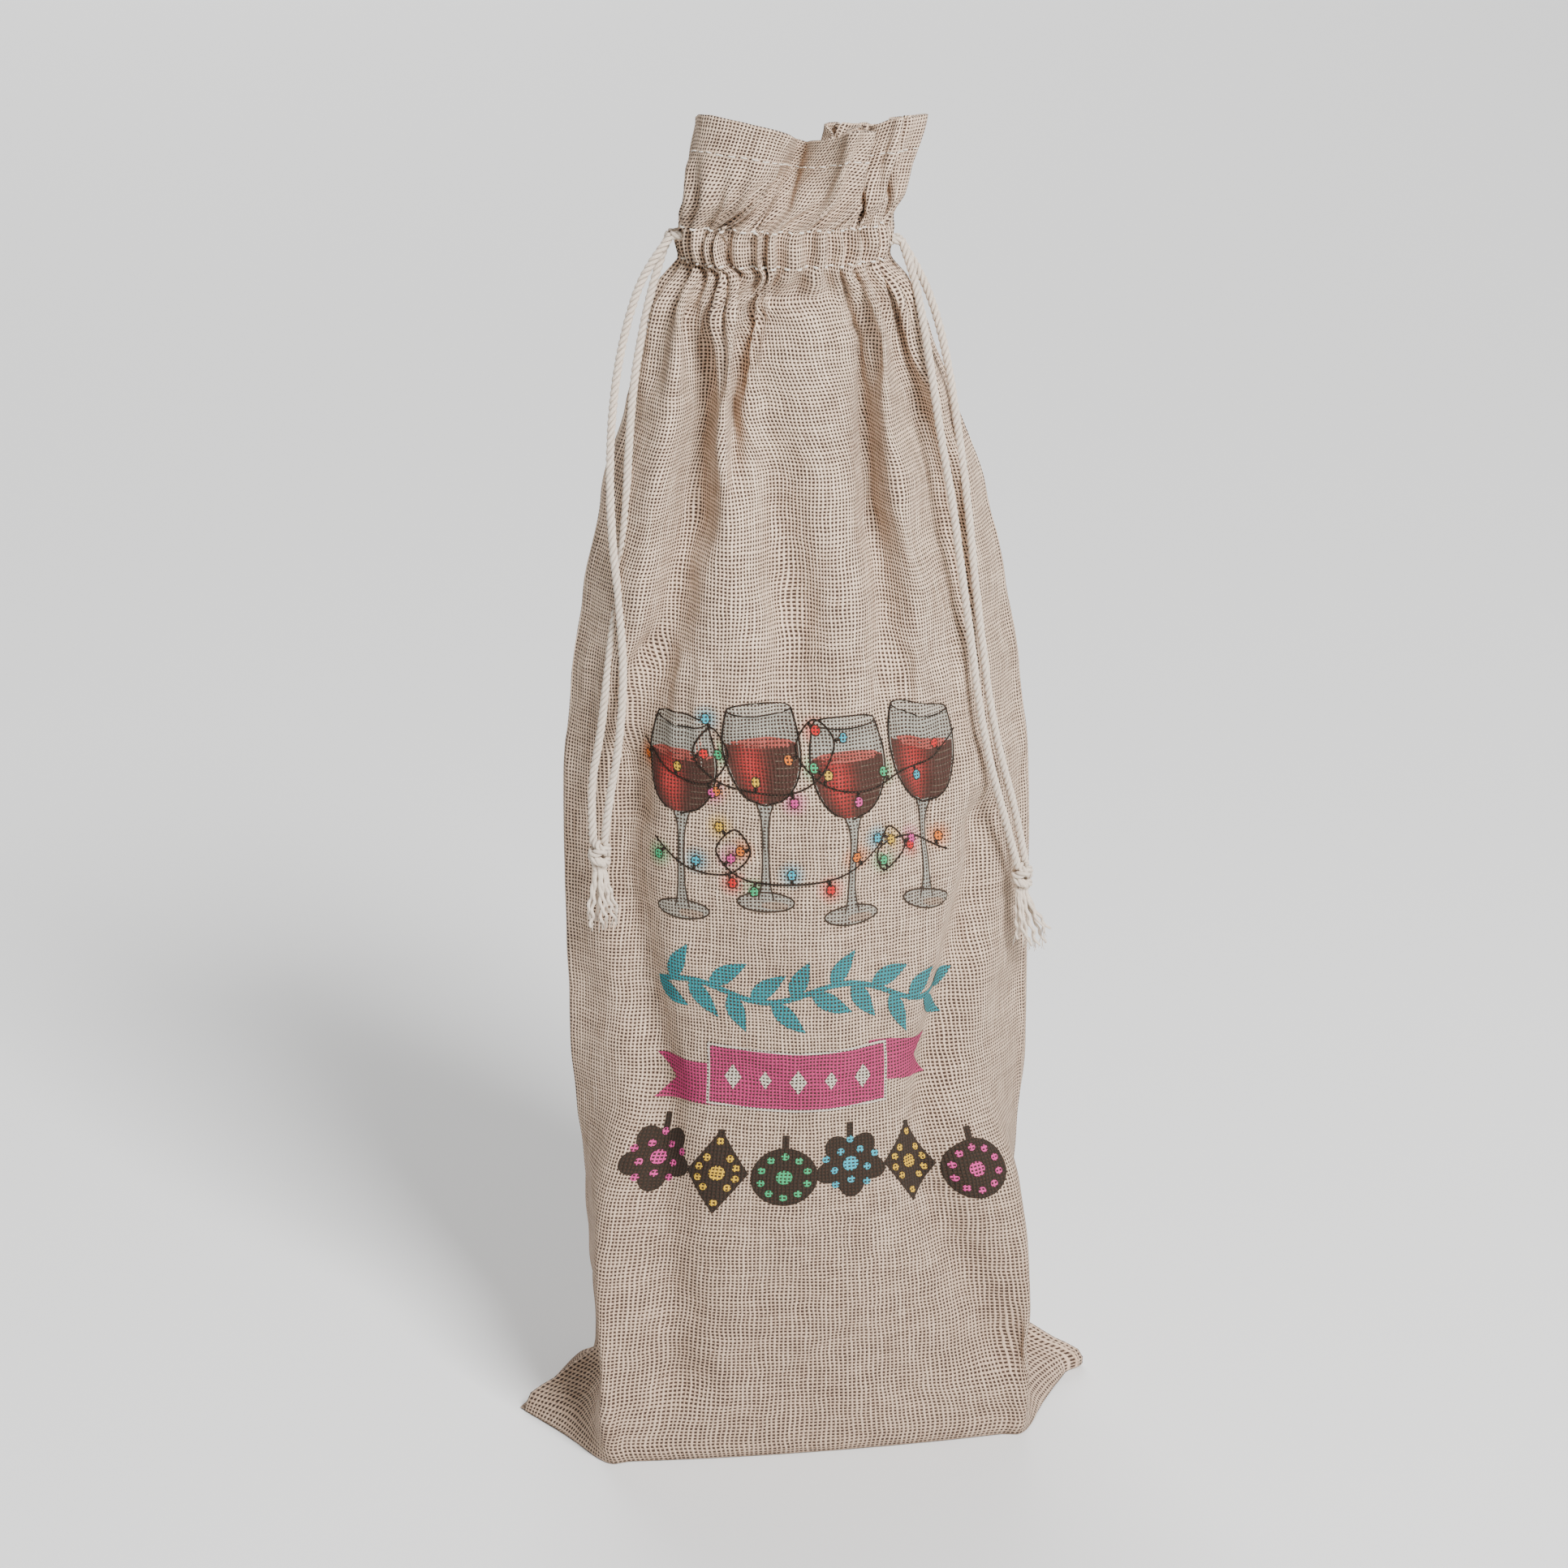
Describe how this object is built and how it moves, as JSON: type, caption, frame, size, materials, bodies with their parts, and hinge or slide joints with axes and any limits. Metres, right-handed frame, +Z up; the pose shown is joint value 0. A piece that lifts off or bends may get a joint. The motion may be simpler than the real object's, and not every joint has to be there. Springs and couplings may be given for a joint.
{
  "type": "wine gift bag",
  "caption": "Tall drawstring cloth bag that stands around a wine bottle, gathered at the neck by two cords in a stitched casing that end in knotted tassels.",
  "frame": {"origin": "on the ground under the middle of the bag, the bottom centre of its bounding box without the free cord ends", "axes": "+Z up along the bag's height, its longest extent, -Y to the front panel, +X to the right seen from the front"},
  "size_m": [0.152, 0.0788, 0.35],
  "materials": {
    "cloth": "coarse plain-weave natural linen",
    "thread": "white sewing thread",
    "cord": "three-ply twisted cotton cord"
  },
  "bodies": {
    "bag": {"front_panel": "cloth", "back_panel": "cloth", "front_top_hem": "cloth", "back_top_hem": "cloth", "front_casing_strip": "cloth", "back_casing_strip": "cloth", "left_seam_allowance": "cloth", "right_seam_allowance": "cloth", "base_seam_allowance": "cloth", "casing_lower_stitching": "thread", "casing_upper_stitching": "thread", "top_hem_stitching": "thread", "left_slit_bar_tacks": "thread", "right_slit_bar_tacks": "thread", "left_cord_casing_loop": "cord", "right_cord_casing_loop": "cord"},
    "left_tie": {"left_cord_outer_strand": "cord", "left_cord_inner_strand": "cord", "left_cord_knot": "cord"},
    "left_tassel": {"left_cord_tassel": "cord"},
    "right_tie": {"right_cord_outer_strand": "cord", "right_cord_inner_strand": "cord", "right_cord_knot": "cord"},
    "right_tassel": {"right_cord_tassel": "cord"}
  },
  "joints": [
    {"name": "left_tie_swing", "type": "hinge", "parent": "bag", "child": "left_tie", "pos_m": [-0.0316, 0, 0.3182], "axis": [0, 1, 0], "range_deg": [0, 80]},
    {"name": "left_tassel_swing", "type": "hinge", "parent": "left_tie", "child": "left_tassel", "pos_m": [-0.0534, -0.0176, 0.1634], "axis": [0, 1, 0], "range_deg": [0, 40]},
    {"name": "right_tie_swing", "type": "hinge", "parent": "bag", "child": "right_tie", "pos_m": [0.026, 0, 0.3153], "axis": [0, -1, 0], "range_deg": [0, 80]},
    {"name": "right_tassel_swing", "type": "hinge", "parent": "right_tie", "child": "right_tassel", "pos_m": [0.0567, -0.0144, 0.1503], "axis": [0, -1, 0], "range_deg": [0, 40]}
  ]
}
